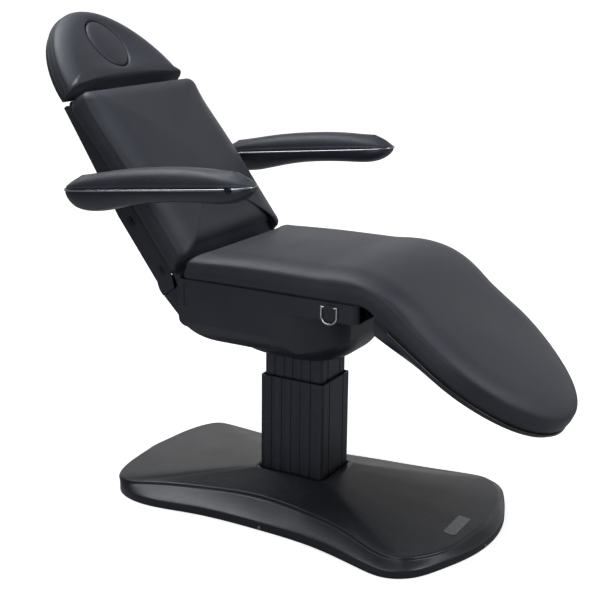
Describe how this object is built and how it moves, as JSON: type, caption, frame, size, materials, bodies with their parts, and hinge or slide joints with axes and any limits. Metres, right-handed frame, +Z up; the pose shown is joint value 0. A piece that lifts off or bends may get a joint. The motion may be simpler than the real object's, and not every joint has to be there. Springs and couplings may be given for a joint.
{
  "type": "tattoo chair",
  "caption": "Powered reclining treatment chair: padded back, seat and leg sections, tilting headrest with face hole, swinging armrests, lifting column and waisted floor base.",
  "frame": {"origin": "on the floor, on the axis of the lifting column, under the middle floor pad", "axes": "+X towards the foot end, +Y across the chair away from the viewer's side, +Z up"},
  "size_m": [1.5999, 0.88, 1.3625],
  "materials": {
    "leatherette": "satin",
    "shell_plastic": "satin",
    "base_plastic": "satin",
    "trim_gloss": "gloss",
    "plywood": "matte",
    "frame_paint": "satin",
    "plate_paint": "satin",
    "anodised": "satin",
    "steel": "satin",
    "chrome": "polished",
    "rubber": "matte",
    "slide_plastic": "matte",
    "drive_plastic": "matte",
    "plate_bare": "satin",
    "brass": "satin"
  },
  "bodies": {
    "base": {"base_cover": "base_plastic", "base_plate": "plate_paint", "base_screws": "steel", "blank_plate": "plate_bare", "floor_pads": "rubber", "mains_inlet": "drive_plastic", "column_flange": "frame_paint", "column_bolts": "steel", "column_outer": "anodised", "column_slide_pads": "slide_plastic", "lift_motor": "drive_plastic", "lift_screw": "steel"},
    "seat": {"column_inner": "anodised", "lift_nut": "brass", "lift_push_tube": "steel", "head_plate": "frame_paint", "seat_frame": "frame_paint", "seat_board": "plywood", "seat_cushion": "leatherette", "seat_hull": "shell_plastic", "column_collar": "shell_plastic", "control_box": "drive_plastic", "back_hinge_pins": "steel", "leg_hinge_pins": "steel", "back_actuator": "drive_plastic", "leg_actuator": "drive_plastic", "ring_lug": "frame_paint"},
    "back": {"back_frame": "frame_paint", "back_crank_pin": "steel", "back_board": "plywood", "back_cushion": "leatherette", "back_cover": "shell_plastic", "back_side_clips": "trim_gloss", "armrest_axles": "steel", "headrest_hinge_ears": "frame_paint", "headrest_hinge_pins": "steel"},
    "leg": {"leg_frame": "frame_paint", "leg_crank_pin": "steel", "leg_cushion": "leatherette", "leg_board": "plywood", "leg_cover": "shell_plastic"},
    "headrest": {"headrest_cushion": "leatherette", "headrest_board": "plywood", "headrest_hinge_arms": "frame_paint"},
    "face_plug": {"face_plug_base": "plywood", "face_plug_cushion": "leatherette"},
    "armrest_near": {"armrest_shell_near": "shell_plastic", "armrest_rail_near": "trim_gloss", "armrest_pad_near": "leatherette", "armrest_cap_near": "chrome"},
    "armrest_far": {"armrest_shell_far": "shell_plastic", "armrest_rail_far": "trim_gloss", "armrest_pad_far": "leatherette", "armrest_cap_far": "chrome"},
    "ring": {"hanging_ring": "chrome"},
    "back_rod": {"back_rod": "steel"},
    "leg_rod": {"leg_rod": "steel"}
  },
  "joints": [
    {"name": "lift", "type": "slide", "parent": "base", "child": "seat", "axis": [0, 0, 1], "range_m": [-0.03, 0.22]},
    {"name": "backrest", "type": "hinge", "parent": "seat", "child": "back", "pos_m": [-0.268, 0, 0.664], "axis": [0, 1, 0], "range_deg": [-51.5, 8.5]},
    {"name": "leg_section", "type": "hinge", "parent": "seat", "child": "leg", "pos_m": [0.307, 0, 0.664], "axis": [0, -1, 0], "range_deg": [-25, 35.5]},
    {"name": "headrest", "type": "hinge", "parent": "back", "child": "headrest", "pos_m": [-0.63618, 0, 1.11353], "axis": [0, 1, 0], "range_deg": [-30, 20]},
    {"name": "face_plug", "type": "slide", "parent": "headrest", "child": "face_plug", "axis": [0.7373, 0, 0.6756], "range_m": [0, 0.1]},
    {"name": "armrest_near", "type": "hinge", "parent": "back", "child": "armrest_near", "pos_m": [-0.4523, -0.387, 0.88285], "axis": [0, -1, 0], "range_deg": [-52, 110]},
    {"name": "armrest_far", "type": "hinge", "parent": "back", "child": "armrest_far", "pos_m": [-0.4523, 0.387, 0.88285], "axis": [0, -1, 0], "range_deg": [-52, 110]},
    {"name": "ring", "type": "hinge", "parent": "seat", "child": "ring", "pos_m": [0.216, -0.2693, 0.666], "axis": [-1, 0, 0], "range_deg": [0, 100]},
    {"name": "back_rod", "type": "slide", "parent": "seat", "child": "back_rod", "axis": [1, 0, 0], "range_m": [-0.009, 0.053]},
    {"name": "leg_rod", "type": "slide", "parent": "seat", "child": "leg_rod", "axis": [1, 0, 0], "range_m": [-0.0258, 0.0365]}
  ],
  "couplings": [
    {"joint": "back_rod", "follows": "backrest", "m_per_rad": -0.05851},
    {"joint": "leg_rod", "follows": "leg_section", "m_per_rad": 0.05847}
  ]
}
